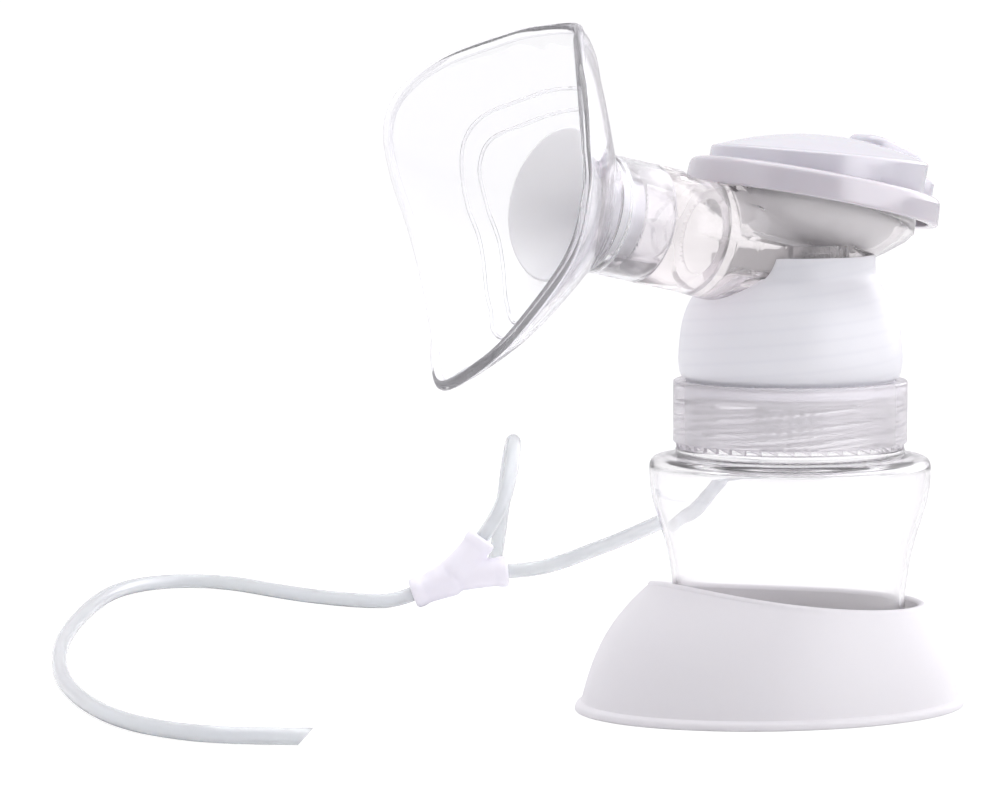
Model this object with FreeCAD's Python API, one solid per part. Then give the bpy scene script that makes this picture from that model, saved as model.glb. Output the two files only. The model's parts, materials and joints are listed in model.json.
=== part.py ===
import FreeCAD, Part
import math
import os

V = FreeCAD.Vector

# Breast pump kit: shield, clear pump body with its suction cap, collar, bottle in a stand, and tubing.
# Millimetres and degrees. Origin: the bottle's axis at the underside of the stand. +Z is up, and the
# shield's arm points towards -X.

# Driving dimensions.
tilt = 12.0                     # the head leans back, away from the shield
arm_height = 122.4              # where the arm's axis crosses the bottle's axis
arm_reach = 48.2                # from that crossing to the mouth that the shield butts against
cap_x = 7.25                    # middle of the cap ring, halfway up its wall
cap_z = 139.5
cap_radius = 34.75
cap_height = 7.5
lid_radius = 29.4
lid_edge = 9.9                  # height of the lid's rim over the middle of the ring
lid_rise = 5.8                  # and of its dome over that rim
lid_lean = 6.1                  # the lid's top slopes this much less than the ring
spigot_radius = 14.3            # at the arm's mouth
fit_gap = 0.08                  # radial clearance where the shield turns on that spigot
body_wall = 1.6
bottle_wall = 1.4
bottle_floor = 2.7              # the bottle stands on the stand's floor
collar_radius = 31.75
collar_low = 71.9
collar_high = 88.8
thread_lead = 16.0              # four starts, right-handed
thread_starts = 4
ratchet_teeth = 43
neck_joint = 117.0              # where the dome ends and the adapter's sleeve starts
sleeve_top = 122.8              # the sleeve rises round the pump body's neck to here
sleeve_bore = 21.9
neck_radius = 21.5              # pump body, inside the sleeve
neck_bore = 19.4
stem_radius = 20.4              # its threaded stem, inside the adapter's socket
stem_bore = 18.8
arm_radius = 16.5
clearance = 0.3                 # between the adapter and the pump body
rim_reach = 54.0                # the shield's rim, beyond the mouth
stand_wall = 2.2
rim_low = 28.0                  # the stand's rim, behind
rim_rise = 6.5                  # and how much higher it is towards the shield
tube_radius = 2.25              # silicone tubing
tube_bore = 1.25
tube_bore_depth = 7.0

os.makedirs("parts", exist_ok=True)


def export(name, shape):
    shape = shape.removeSplitter()
    solids = shape.Solids
    shape = solids[0] if len(solids) == 1 else Part.makeCompound(solids)
    print(name, "solids", len(solids), "closed", shape.isValid(), "volume", round(shape.Volume))
    shape.exportStep("parts/" + name + ".step")


def turned(outline, place=FreeCAD.Placement()):
    """A solid turned about local Z. A list inside the outline is one smooth run, a pair is a corner."""
    edges = []
    pen = None
    start = None
    for item in outline:
        run = [V(r, 0, z) for r, z in (item if isinstance(item, list) else [item])]
        if pen is None:
            start = run[0]
        else:
            edges.append(Part.LineSegment(pen, run[0]).toShape())
        if len(run) > 1:
            curve = Part.BSplineCurve()
            curve.interpolate(run)
            edges.append(curve.toShape())
        pen = run[-1]
    edges.append(Part.LineSegment(pen, start).toShape())
    solid = Part.Face(Part.Wire(edges)).revolve(V(0, 0, 0), V(0, 0, 1), 360)
    solid.Placement = place
    return solid


def inset(run, wall):
    return [(r - wall, z) for r, z in reversed(run)]


def disc(radius, low, high, place=FreeCAD.Placement()):
    return turned([(0, low), (radius, low), (radius, high), (0, high)], place)


def box(low, high, place=FreeCAD.Placement()):
    size = V(*high) - V(*low)
    shape = Part.makeBox(size.x, size.y, size.z, V(*low))
    shape.Placement = place
    return shape


def helix_ribs(radius, root, crest, low, turns, first_angle, inward, ends):
    """Thread starts: a trapezoid carried along a right-hand helix, its root sunk into the wall."""
    ribs = []
    side = -1 if inward else 1
    foot = radius - side * 0.3
    tip = radius + side * crest
    for start in range(thread_starts):
        path = Part.makeHelix(thread_lead, thread_lead * turns, radius)
        section = Part.makePolygon([
            V(foot, 0, -root / 2),
            V(tip, 0, -root / 4),
            V(tip, 0, root / 4),
            V(foot, 0, root / 2),
            V(foot, 0, -root / 2),
        ])
        rib = Part.Wire(path).makePipeShell([section], True, True)
        rib.translate(V(0, 0, low))
        rib.rotate(V(0, 0, 0), V(0, 0, 1), first_angle + start * 360.0 / thread_starts)
        ribs.append(rib.common(ends))
    return ribs


# Local frames: Z along the cap's axis with X down its slope, and Z along the arm with X up its face.
cap_frame = FreeCAD.Placement(V(cap_x, 0, cap_z), FreeCAD.Rotation(V(0, 1, 0), tilt))
arm_frame = FreeCAD.Placement(V(0, 0, arm_height), FreeCAD.Rotation(V(0, 1, 0), tilt - 90))


# Hose routes: head hose from the nipple to the connector, main and branch hoses from the connector out.
hose_head_route = [
    (38.9, 15.2, 139.7), (38.4, 23.0, 139.1), (37.2, 32.0, 137.0), (35.6, 40.2, 131.0), (34.1, 46.8, 121.5),
    (32.9, 52.8, 107.0), (32.2, 60.8, 88.0), (31.4, 69.8, 70.0), (30.6, 81.9, 54.5), (32.1, 96.2, 45.0),
    (36.6, 113.3, 39.2), (44.0, 133.4, 35.4), (51.0, 154.8, 30.5), (57.5, 180.1, 24.3), (59.7, 197.4, 19.8),
    (57.3, 209.9, 15.3), (51.4, 217.6, 12.4), (44.5, 221.7, 11.9),
]
hose_main_route = [
    (19.1, 237.0, 4.8), (15.1, 239.6, 3.0), (10.6, 243.8, 2.25), (3.6, 254.5, 2.25), (-1.7, 272.8, 2.25),
    (-3.4, 291.3, 2.25), (-4.8, 308.5, 2.25), (-10.1, 321.0, 2.25), (-22.2, 326.0, 2.25),
    (-38.0, 319.1, 2.25), (-56.6, 299.9, 2.25), (-83.2, 262.3, 2.25), (-113.5, 214.0, 2.25),
    (-137.1, 169.8, 2.25), (-157.1, 125.9, 2.25), (-171.1, 84.1, 2.25), (-177.3, 50.5, 2.25),
    (-174.2, 26.5, 2.25), (-164.0, 10.5, 2.25), (-149.4, 1.7, 2.25),
]
hose_branch_route = [
    (37.6, 225.9, 22.4), (42.3, 223.7, 29.5), (47.2, 225.3, 40.0), (53.2, 232.8, 48.5), (60.4, 244.9, 51.0),
    (66.0, 256.6, 45.0), (69.5, 265.6, 31.0), (71.6, 272.5, 17.0), (76.8, 284.0, 6.0), (83.4, 299.8, 2.25),
    (90.4, 321.3, 2.25), (100.0, 341.2, 2.25),
]


# Stand: an oval cup, longer under the shield, with a rim that climbs towards it.
def oval(z, shrink):
    drop = 0.22 * z + 6.75 * (z / 29.0) ** 3
    half_x = 54.1 - 1.06 * drop - shrink
    half_y = 45.7 - 0.66 * drop - shrink
    middle = V(-6.2 + 0.16 * drop, 0, z)
    return Part.Wire(Part.Ellipse(middle, half_x, half_y).toShape())


def stand():
    levels = [0, 6, 12, 18, 24, 30, 36]
    outer = Part.makeLoft([oval(z, 0) for z in levels], True)
    inner = Part.makeLoft([oval(z, stand_wall) for z in levels], True)
    inner = inner.common(box((-80, -80, 2.4), (80, 80, 60)))
    foot = Part.Face(Part.Wire(Part.Ellipse(V(-6.2, 0, 0), 55.3, 46.9).toShape())).extrude(V(0, 0, 2.4))
    foot = foot.makeFillet(1.0, [e for e in foot.Edges if not e.BoundBox.ZLength])
    ring = turned([(34.0, 2.0), (36.0, 2.0), (36.0, 8.0), (34.0, 8.0)])
    shell = outer.fuse(foot).cut(inner).fuse(ring)
    rim = Part.BSplineCurve()
    steps = [(-60, 1.25), (-36, 0.97), (-18, 0.74), (0, 0.5), (18, 0.26), (36, 0.02), (60, 0.0)]
    rim.interpolate([V(x, -80, rim_low + rim_rise * t * t) for x, t in steps])
    above = Part.Wire([
        rim.toShape(),
        Part.LineSegment(rim.EndPoint, V(60, -80, 60)).toShape(),
        Part.LineSegment(V(60, -80, 60), V(-60, -80, 60)).toShape(),
        Part.LineSegment(V(-60, -80, 60), rim.StartPoint).toShape(),
    ])
    return shell.cut(Part.Face(above).extrude(V(0, 160, 0)))


# Bottle: a waisted body, a square shoulder, a bead, and a threaded neck.
def bottle():
    low = bottle_floor + 0.05
    side = [(33.0, low + 3.5), (32.7, 12), (31.9, 20), (31.4, 29), (32.0, 34.6), (32.8, 40),
            (34.05, 45.4), (35.7, 50.8), (37.3, 56.2), (38.1, 61.6), (38.1, 64.3), (37.3, 66.6)]
    outline = [(0, low), (30.0, low), (32.2, low + 1.0)]
    outline += [side]
    outline += [(35.2, 68.0), (31.1, 68.2), (31.1, 70.3), (27.4, 70.3), (27.4, 84.0), (25.8, 84.0)]
    outline += [(25.8, 68.9), (26.8, 67.2), (33.6, 66.4), inset(side[:-1], bottle_wall)]
    outline += [(29.8, low + 1.6), (0, low + 1.6)]
    zone = turned([(26.0, 71.6), (31.0, 71.6), (31.0, 83.4), (26.0, 83.4)])
    ribs = helix_ribs(27.4, 1.5, 1.6, 69.0, 1.0, 0, False, zone)
    return turned(outline).multiFuse(ribs)


# Collar: a clear skirt with internal thread, a lip that holds the adapter, and ratchet teeth below.
def screw_collar():
    skirt = turned([
        (30.1, collar_low), (31.2, collar_low), (collar_radius, collar_low + 0.6),
        (collar_radius, collar_high - 0.6), (31.2, collar_high), (28.7, collar_high),
        (28.7, collar_high - 1.2), (30.1, collar_high - 1.2),
    ])
    zone = turned([(28.0, 73.0), (31.0, 73.0), (31.0, 83.9), (28.0, 83.9)])
    ribs = helix_ribs(30.1, 1.5, 1.6, 71.0, 1.0, 0, True, zone)
    step = 2 * math.pi * 30.3 / ratchet_teeth
    tooth = Part.Face(Part.makePolygon([
        V(29.7, -step * 0.45, collar_low + 0.4),
        V(29.7, step * 0.45, collar_low + 0.4),
        V(29.7, step * 0.45, collar_low - 1.0),
        V(29.7, -step * 0.45, collar_low + 0.4),
    ])).extrude(V(1.1, 0, 0))
    teeth = []
    for n in range(ratchet_teeth):
        copy = tooth.copy()
        copy.rotate(V(0, 0, 0), V(0, 0, 1), n * 360.0 / ratchet_teeth)
        teeth.append(copy)
    return skirt.multiFuse(ribs + teeth)


def bottle_gasket():
    return turned([(25.9, 84.05), (28.0, 84.05), (28.0, 85.2), (25.9, 85.2)])


# Adapter: a milky dome that carries the pump body and is trapped under the collar's lip.
dome_side = [(29.5, 89.7), (30.1, 91.4), (30.4, 95.4), (30.1, 99.5), (29.3, 104.9),
             (27.2, 110.3), (25.5, 113.0), (23.1, neck_joint)]


def bottle_adapter():
    socket = [(sleeve_bore, neck_joint), (sleeve_bore, 99.5), (23.4, 99.5), (23.4, 113.2)]
    inner = [(25.1, 110.3), (27.3, 104.9), (28.2, 99.5), (28.4, 95.4), (28.0, 91.4), (26.6, 89.0)]
    outline = [(25.9, 85.2), (29.7, 85.2), (29.7, 87.3), (28.2, 87.3), (28.2, 89.2), dome_side]
    sleeve = turned([(sleeve_bore, neck_joint - 1.0), (23.1, neck_joint - 1.0), (23.1, neck_joint),
                     (22.9, neck_joint + 2.0), (22.9, sleeve_top), (sleeve_bore, sleeve_top)])
    notch = disc(arm_radius + clearance, 0.0, arm_reach, arm_frame).fuse(bowl(-clearance))
    notch = notch.common(box((-80, -80, neck_joint + 0.3), (80, 80, 160)))
    return turned(outline + socket + [inner]).fuse(sleeve.cut(notch))


# Pump body: a tee of bowl, neck and arm round one cavity.
def bowl(wall):
    """The bowl's outside, or its inside with a wall, or with a negative wall the space it needs."""
    low = -17.0 + min(0.0, wall)
    return turned([
        (0, 2.0), (28.8 - wall, 2.0), (28.8 - wall, -6.6 + wall / 2), (27.0 - wall, -9.0 + wall / 2),
        (22.0 - wall, -13.0), (16.0 - wall, low), (0, low),
    ], cap_frame)


def pump_body():
    arm_out = turned([(0, 4.0), (arm_radius, 4.0), (arm_radius, 26.0), (16.0, 36.0), (16.0, arm_reach),
                      (0, arm_reach)], arm_frame)
    arm_in = turned([(0, 4.0), (14.9, 4.0), (14.9, 27.0), (14.4, 36.0), (14.4, arm_reach - 2.0),
                     (12.75, arm_reach - 1.0), (12.75, arm_reach + 20), (0, arm_reach + 20)], arm_frame)
    spigot = turned([(12.75, arm_reach - 2.5), (15.2, arm_reach - 2.5), (15.2, arm_reach - 0.5),
                     (spigot_radius, arm_reach - 0.5), (spigot_radius, arm_reach + 8.6),
                     (12.75, arm_reach + 8.6)], arm_frame)
    partition = turned([(10.5, 28.7), (15.1, 28.7), (15.1, 30.3), (10.5, 30.3)], arm_frame)
    flange = turned([(26.5, -2.1), (31.6, -2.1), (31.6, -0.65), (27.2, -0.65)], cap_frame)
    neck_out = disc(neck_radius, neck_joint - 1.0, 126.0)
    neck_in = disc(neck_bore, neck_joint - 4.0, 126.0)
    below = box((-80, -80, 0), (80, 80, neck_joint + 0.15))
    dome = [(r + clearance, z) for r, z in dome_side]
    keep_out = turned([(0, 89.7), dome, (23.4, neck_joint + 0.15), (0, neck_joint + 0.15)])
    keep_in = turned([(0, 89.7), [(r + clearance + body_wall, z + 0.6) for r, z in dome_side],
                      (23.4, neck_joint + 1.2), (stem_bore, neck_joint + 1.2), (stem_bore, 89.7)])
    throat = disc(stem_bore, 80.0, neck_joint + 6.0)
    under_ring = turned([(31.9, -4.0), (45.0, -4.0), (45.0, 8.0), (31.9, 8.0)], cap_frame)
    ring_wall = turned([(30.3, -5.6), (45.0, -5.6), (45.0, 8.0), (30.3, 8.0)], cap_frame)
    outer = bowl(0).fuse(neck_out).fuse(arm_out).cut(keep_out).cut(under_ring)
    inner = bowl(body_wall + 0.2).fuse(neck_in.cut(below)).fuse(arm_in).cut(keep_in).cut(ring_wall).fuse(throat)
    top = disc(40.0, -0.65, 10.0, cap_frame)
    stem = turned([(stem_radius, neck_joint + 1.0), (stem_radius, 103.0), (9.5, 101.0), (9.5, 94.0), (7.9, 94.0),
                   (7.9, 102.2), (stem_bore, 104.4), (stem_bore, neck_joint + 1.0)])
    zone = turned([(19.0, 101.0), (21.6, 101.0), (21.6, 115.0), (19.0, 115.0)])
    ribs = helix_ribs(stem_radius, 1.5, 1.1, 99.0, 1.1, 45, False, zone)
    shell = outer.cut(inner).cut(top)
    shell = shell.cut(disc(20.0, 80.0, neck_joint + 0.3))
    return shell.multiFuse([flange, spigot, partition.cut(under_ring), stem] + ribs)


# Duckbill valve: a round cuff on the stem that flattens to a slit.
def flattened(levels):
    return Part.makeLoft([Part.Wire(Part.Ellipse(V(0, 0, z), x, y).toShape()) for x, y, z in levels], True)


def duckbill_valve():
    outer = disc(11.4, 94.0, 100.2).fuse(flattened([(10.9, 10.8, 96.0), (10.9, 8.8, 87.0), (10.8, 1.5, 74.0)]))
    inner = disc(9.55, 93.9, 101.0).fuse(flattened([(9.3, 9.2, 95.5), (9.3, 7.2, 87.0), (9.3, 0.4, 73.5)]))
    return outer.cut(inner)


# Diaphragm: a silicone cup clamped at its edge between the body's flange and the cap ring.
def diaphragm():
    wall = [(26.0, -0.5), (24.6, -4.6), (20.5, -9.6), (14.5, -13.6), (11.5, -14.6)]
    face = [(r - 0.9, z + 1.3) for r, z in wall]
    return turned([(0, -15.0), (10.5, -15.0), wall[::-1], (31.2, -0.5), (31.2, 0.75), face, (0, -13.6)],
                  cap_frame)


def cap_ring():
    half = cap_height / 2
    draft = cap_height * math.tan(math.radians(3))
    ring = turned([(32.0, -half), (cap_radius, -half), (cap_radius - draft, half), (26.2, half),
                   (26.2, 0.85), (32.0, 0.85)], cap_frame)
    top = [e for e in ring.Edges if abs(e.Length - 2 * math.pi * (cap_radius - draft)) < 0.5]
    bottom = [e for e in ring.Edges if abs(e.Length - 2 * math.pi * cap_radius) < 0.5]
    return ring.makeFillet(1.8, top).makeFillet(0.6, bottom)


# Lid: a shallow dome whose top slopes less than the ring, with a raised port block at the back.
def dome_tool(lift):
    edge = lid_edge + lift
    curve = [(r, edge + lid_rise * (1 - (r / 30.2) ** 2)) for r in (30.2, 28, 25, 20, 14, 7, 0)]
    tool = turned([(0, -4.0), (40.0, -4.0), (40.0, edge), curve])
    tool.rotate(V(0, 0, lid_edge), V(0, 1, 0), -lid_lean)
    tool.Placement = cap_frame.multiply(tool.Placement)
    return tool


def cap_lid():
    base = cap_height / 2
    skin = disc(lid_radius, base, 20, cap_frame).common(dome_tool(0))
    hollow = disc(lid_radius - 1.8, base - 1, 20, cap_frame).common(dome_tool(-1.9))
    block = box((13.0, -8.0, 6.0), (31.0, 8.0, 24.0))
    block = block.makeFillet(3.0, [e for e in block.Edges if e.BoundBox.ZLength > 10])
    block.Placement = cap_frame
    deck = box((27.0, -8.0, base), (34.4, 8.0, 10.0))
    deck = deck.makeFillet(2.0, [e for e in deck.Edges if e.BoundBox.ZLength > 5])
    deck.Placement = cap_frame
    duct = box((24.0, -3.0, 5.5), (32.6, 3.0, 8.4), cap_frame)
    bore = disc(2.4, -12.5, -5.0, nipple_frame())
    return skin.cut(hollow).fuse(block.common(dome_tool(2.6))).fuse(deck).cut(hollow).cut(duct).cut(bore)


# Nipple: a barbed tube in line with the hose's first run, whose end is at its local origin.
def nipple_frame():
    end = V(*hose_head_route[0])
    return FreeCAD.Placement(end, FreeCAD.Rotation(V(0, 0, 1), V(*hose_head_route[1]) - end))


def hose_nipple():
    return turned([(0.8, -11.5), (2.4, -11.5), (2.4, -6.7), (3.2, -6.7), (3.2, -5.5), (1.9, -5.5), (1.9, 0),
                   (0.8, 0)], nipple_frame())


# Shield: a neck that slips over the arm's spigot, an inner tunnel, and a wide flange shaped to the body.
flange_run = 22.0               # from the mouth to where the flange starts to flare
flange_wall = 1.8
throat_radius = 18.6
rim_above = 47.5                # the rim, above, below and beside the arm's axis
rim_below = 54.0
rim_half = 54.0


def shield_ring(share, inward):
    """One closed outline of the flange, from its throat (share 0) to its rim (share 1)."""
    points = []
    for n in range(24):
        angle = 2 * math.pi * n / 24
        up = math.cos(angle)
        across = math.sin(angle)
        height = rim_above if up > 0 else rim_below
        width = rim_half * (1.0 - 0.10 * max(0.0, -up) ** 2)
        square = (abs(up) ** 2.5 + abs(across) ** 2.5) ** (-1 / 2.5)
        reach = rim_reach - 18.0 * max(0.0, up) ** 3 - 15.0 * max(0.0, -up) * abs(across)
        v = throat_radius * up + share * (height * square - throat_radius) * up
        y = throat_radius * across + share * (width * square - throat_radius) * across
        z = flange_run + (reach - flange_run) * share ** 0.9
        size = math.hypot(v, y)
        points.append(V(v * (size - inward) / size, y * (size - inward) / size, z + inward * 0.55))
    curve = Part.BSplineCurve()
    curve.interpolate(points, PeriodicFlag=True)
    return Part.Wire(curve.toShape())


def breast_shield():
    shares = [0.0, 0.12, 0.3, 0.5, 0.75, 1.0]
    outer_rings = [shield_ring(s, 0.0) for s in shares]
    inner_rings = [shield_ring(s, flange_wall) for s in shares]
    faces = Part.makeLoft(outer_rings, False).Faces
    faces += Part.makeLoft(inner_rings, False).Faces
    faces += Part.makeLoft([outer_rings[-1], inner_rings[-1]], False, True).Faces
    faces += Part.makeLoft([outer_rings[0], inner_rings[0]], False, True).Faces
    shell = Part.makeShell(faces)
    shell.sewShape()
    flange = Part.Solid(Part.Shell(shell.Faces))
    if flange.Volume < 0:
        flange.reverse()
    flange.Placement = FreeCAD.Placement(arm_frame.multVec(V(0, 0, arm_reach)), arm_frame.Rotation)
    bore = spigot_radius + fit_gap
    neck = turned([
        (bore, 0.2), (16.0, 0.2), (16.0, 16.0), (18.9, flange_run + 0.4), (16.9, flange_run + 1.6),
        (14.0, 17.2), (9.8, 15.4), (9.8, -3.0), (11.2, -3.0), (11.2, 13.6), (bore, 13.6),
    ], arm_frame)
    neck.translate(arm_frame.Rotation.multVec(V(0, 0, arm_reach)))
    return neck.fuse(flange)


# Cushion: a silicone funnel insert that lies in the shield's throat.
def shield_cushion():
    cone = [(9.3, 6.0), (9.3, 15.0), (13.6, 18.3), (20.6, 28.6)]
    back = [(20.0, 29.8), (12.6, 19.6), (8.2, 16.2), (8.2, 6.0)]
    insert = turned(cone + back, arm_frame)
    insert.translate(arm_frame.Rotation.multVec(V(0, 0, arm_reach)))
    return insert


# Tubing: straight runs joined by tangent arcs.
def tube(name, points, bored_end):
    spots = [V(*p) for p in points]
    corners = []
    radii = []
    for before, at, after in zip(spots, spots[1:], spots[2:]):
        come = (at - before).normalize()
        leave = (after - at).normalize()
        turn = come.getAngle(leave)
        shorter = min((at - before).Length, (after - at).Length)
        radius = 0.45 * shorter / math.tan(turn / 2)
        radii.append(round(radius, 1))
        start = at - come * (0.45 * shorter)
        end = at + leave * (0.45 * shorter)
        to_middle = (leave - come).normalize()
        middle = at + to_middle * (radius / math.cos(turn / 2) - radius)
        corners.append((start, middle, end))
    edges = []
    pen = spots[0]
    for start, middle, end in corners:
        edges.append(Part.LineSegment(pen, start).toShape())
        edges.append(Part.Arc(start, middle, end).toShape())
        pen = end
    edges.append(Part.LineSegment(pen, spots[-1]).toShape())
    path = Part.Wire(edges)
    first = (spots[1] - spots[0]).normalize()
    last = (spots[-1] - spots[-2]).normalize()
    ring = Part.Wire(Part.Circle(spots[0], first, tube_radius).toShape())
    solid = path.makePipeShell([ring], True, False)
    ideal = math.pi * tube_radius ** 2 * path.Length
    print(name, "length", round(path.Length, 1), "volume share", round(solid.Volume / ideal, 4))
    print(name, "radii", radii)
    if bored_end:
        solid = solid.cut(Part.makeCylinder(tube_bore, tube_bore_depth, spots[-1], last * -1))
    return solid


# Y connector: three beaded arms, each in line with the hose that meets it, round a rounded hub.
def y_connector(routes):
    arms = []
    for route in routes:
        end = V(*route[0])
        inward = (end - V(*route[1])).normalize()
        arms.append((end, inward, (end - y_middle).Length))
    solid = Part.makeSphere(5.2, y_middle)
    for end, inward, length in arms:
        solid = solid.fuse(Part.makeCone(4.5, 5.1, length, end, inward))
        bead = Part.makeCylinder(4.9, 3.0, end, inward)
        solid = solid.fuse(bead.makeFillet(0.8, bead.Edges[0:1] + bead.Edges[2:3]))
    for end, inward, length in arms:
        solid = solid.cut(Part.makeCylinder(tube_bore, length, end, inward))
    return solid


hose_routes = [hose_main_route, hose_head_route[::-1], hose_branch_route]
y_middle = V(29.9, 230.4, 10.9)

export("stand", stand())
export("bottle", bottle())
export("screw_collar", screw_collar())
export("bottle_gasket", bottle_gasket())
export("bottle_adapter", bottle_adapter())
export("pump_body", pump_body())
export("duckbill_valve", duckbill_valve())
export("diaphragm", diaphragm())
export("cap_ring", cap_ring())
export("cap_lid", cap_lid())
export("hose_nipple", hose_nipple())
export("breast_shield", breast_shield())
export("shield_cushion", shield_cushion())
export("y_connector", y_connector(hose_routes))
export("hose_head", tube("hose_head", hose_head_route, False))
export("hose_main", tube("hose_main", hose_main_route, True))
export("hose_branch", tube("hose_branch", hose_branch_route, True))
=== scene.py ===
import json
import math
import bmesh
import bpy
from mathutils import Matrix, Vector


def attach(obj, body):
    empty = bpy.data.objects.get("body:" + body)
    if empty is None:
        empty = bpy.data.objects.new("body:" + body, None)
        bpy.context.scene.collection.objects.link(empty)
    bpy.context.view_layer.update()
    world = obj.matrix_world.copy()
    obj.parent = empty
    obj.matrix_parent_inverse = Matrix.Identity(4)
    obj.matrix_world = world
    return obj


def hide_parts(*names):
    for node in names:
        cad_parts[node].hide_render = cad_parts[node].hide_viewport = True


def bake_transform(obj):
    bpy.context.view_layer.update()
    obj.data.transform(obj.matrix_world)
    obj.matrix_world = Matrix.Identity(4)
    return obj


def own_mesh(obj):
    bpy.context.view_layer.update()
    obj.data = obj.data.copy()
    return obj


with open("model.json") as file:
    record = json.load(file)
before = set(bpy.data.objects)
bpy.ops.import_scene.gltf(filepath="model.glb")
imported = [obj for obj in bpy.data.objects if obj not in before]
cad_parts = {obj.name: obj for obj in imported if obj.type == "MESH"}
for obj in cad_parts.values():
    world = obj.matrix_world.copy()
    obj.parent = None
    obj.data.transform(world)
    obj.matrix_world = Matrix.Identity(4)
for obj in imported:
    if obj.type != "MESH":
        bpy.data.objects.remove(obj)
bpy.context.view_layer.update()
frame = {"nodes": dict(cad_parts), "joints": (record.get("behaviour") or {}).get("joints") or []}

mm = 0.001
up = Vector((0, 0, 1))
jointOf = {j["name"]: j for j in frame["joints"]}


def axisFrame(origin, axis):
    z = Vector(axis).normalized()
    y = Vector((0, 1, 0))
    x = y.cross(z).normalized()
    turn = Matrix((x, y, z)).transposed().to_4x4()
    return Matrix.Translation(Vector(origin) * mm) @ turn


capAt = (7.25, 0, 139.5)  # middle of the cap ring
armAt = Vector(jointOf["shield_swivel"]["pos_m"]) / mm
capFrame = axisFrame(capAt, jointOf["diaphragm_pull"]["axis"])
armFrame = axisFrame(armAt, jointOf["shield_swivel"]["axis"])
bottleFrame = Matrix.Identity(4)
armReach = 48.2  # to the mouth that the shield butts against
toMouth = armFrame @ Matrix.Translation(up * armReach * mm)


cameraLook = {
    "place": (-832.7, -1233.0, 208.0),
    "away": (0.5150, 0.8572),
    "dip": 4.745,
    "lens": 198.2,
}


def addCamera():
    data = bpy.data.cameras.new("camera")
    data.lens = cameraLook["lens"]
    data.sensor_width = 36
    data.clip_end = 20
    camera = bpy.data.objects.new("camera", data)
    bpy.context.scene.collection.objects.link(camera)
    dip = math.radians(cameraLook["dip"])
    ax, ay = cameraLook["away"]
    look = Vector((ax * math.cos(dip), ay * math.cos(dip), -math.sin(dip)))
    camera.location = Vector(cameraLook["place"]) * mm
    camera.rotation_euler = look.to_track_quat("-Z", "Y").to_euler()
    bpy.context.scene.camera = camera
    print("camera placed")


# Smooth faces, one material and an object in the scene
def dress(name, mesh, material, sharp):
    mesh.polygons.foreach_set("use_smooth", [True] * len(mesh.polygons))
    mesh.set_sharp_from_angle(angle=math.radians(sharp))
    mesh.materials.clear()
    mesh.materials.append(material)
    piece = bpy.data.objects.new(name, mesh)
    bpy.context.scene.collection.objects.link(piece)
    return piece


def finishMesh(name, mesh, material, sharp=32):
    work = bmesh.new()
    work.from_mesh(mesh)
    bmesh.ops.remove_doubles(work, verts=work.verts, dist=1e-6)
    bmesh.ops.recalc_face_normals(work, faces=work.faces)
    work.to_mesh(mesh)
    work.free()
    return dress(name, mesh, material, sharp)


# One closed ring of points per row, in millimetres, joined by quads
def skin(name, rings, material, loop=False, matrix=None, sharp=32):
    count = len(rings[0])
    points = [tuple(p) for ring in rings for p in ring]
    faces = []
    rows = len(rings)
    for j in range(rows if loop else rows - 1):
        a = j * count
        b = ((j + 1) % rows) * count
        for i in range(count):
            k = (i + 1) % count
            faces.append((a + i, a + k, b + k, b + i))
    mesh = bpy.data.meshes.new(name)
    mesh.from_pydata(points, [], faces)
    mesh.transform(Matrix.Diagonal((mm, mm, mm, 1)))
    if matrix is not None:
        mesh.transform(matrix)
    return finishMesh(name, mesh, material, sharp)


# Corners (r, z) or (r, z, fillet): the fillet becomes an arc
def rounded(corners, steps=6):
    line = []
    count = len(corners)
    for n, corner in enumerate(corners):
        if len(corner) == 2 or n in (0, count - 1):
            line.append(Vector(corner[:2]))
            continue
        at = Vector(corner[:2])
        back = (Vector(corners[n - 1][:2]) - at)
        ahead = (Vector(corners[n + 1][:2]) - at)
        reach = min(corner[2], 0.49 * back.length, 0.49 * ahead.length)
        start = at + back.normalized() * reach
        end = at + ahead.normalized() * reach
        for k in range(steps + 1):
            t = k / steps
            line.append(start * (1 - t) ** 2 + at * 2 * t * (1 - t) + end * t ** 2)
    return [(p.x, p.y) for p in line]


# A Catmull-Rom spot between b and c
def between(a, b, c, d, t):
    bend = (2 * a - 5 * b + 4 * c - d) * t ** 2
    return 0.5 * ((2 * b) + (c - a) * t + bend + (3 * b - a - 3 * c + d) * t ** 3)


# A smooth run through the points
def smoothRun(points, steps=6):
    spots = [Vector(p) for p in points]
    spots = [spots[0] * 2 - spots[1]] + spots + [spots[-1] * 2 - spots[-2]]
    line = []
    for a, b, c, d in zip(spots, spots[1:], spots[2:], spots[3:]):
        for k in range(steps):
            t = k / steps
            line.append(between(a, b, c, d, t))
    line.append(spots[-2])
    return [tuple(p) for p in line]


def lathe(name, profile, material, matrix, loop=False, columns=144, relief=None):
    rings = []
    for r, z in profile:
        ring = []
        for i in range(columns):
            angle = 2 * math.pi * i / columns
            reach = r + (relief(r, z, angle) if relief else 0)
            ring.append((reach * math.cos(angle), reach * math.sin(angle), z))
        rings.append(ring)
    return skin(name, rings, material, loop, matrix)


def place(piece, body, slot, *nodes):
    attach(piece, body)
    if nodes:
        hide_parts(*nodes)
    return piece


def newMaterial(name):
    material = bpy.data.materials.new(name)
    material.use_nodes = True
    nodes = material.node_tree.nodes
    links = material.node_tree.links
    return material, nodes, links, nodes["Principled BSDF"], nodes["Material Output"]


def noiseOn(nodes, links, scale, detail=3.0):
    coords = nodes.new("ShaderNodeTexCoord")
    noise = nodes.new("ShaderNodeTexNoise")
    noise.inputs["Scale"].default_value = scale
    noise.inputs["Detail"].default_value = detail
    links.new(coords.outputs["Object"], noise.inputs["Vector"])
    return noise.outputs["Fac"]


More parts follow.
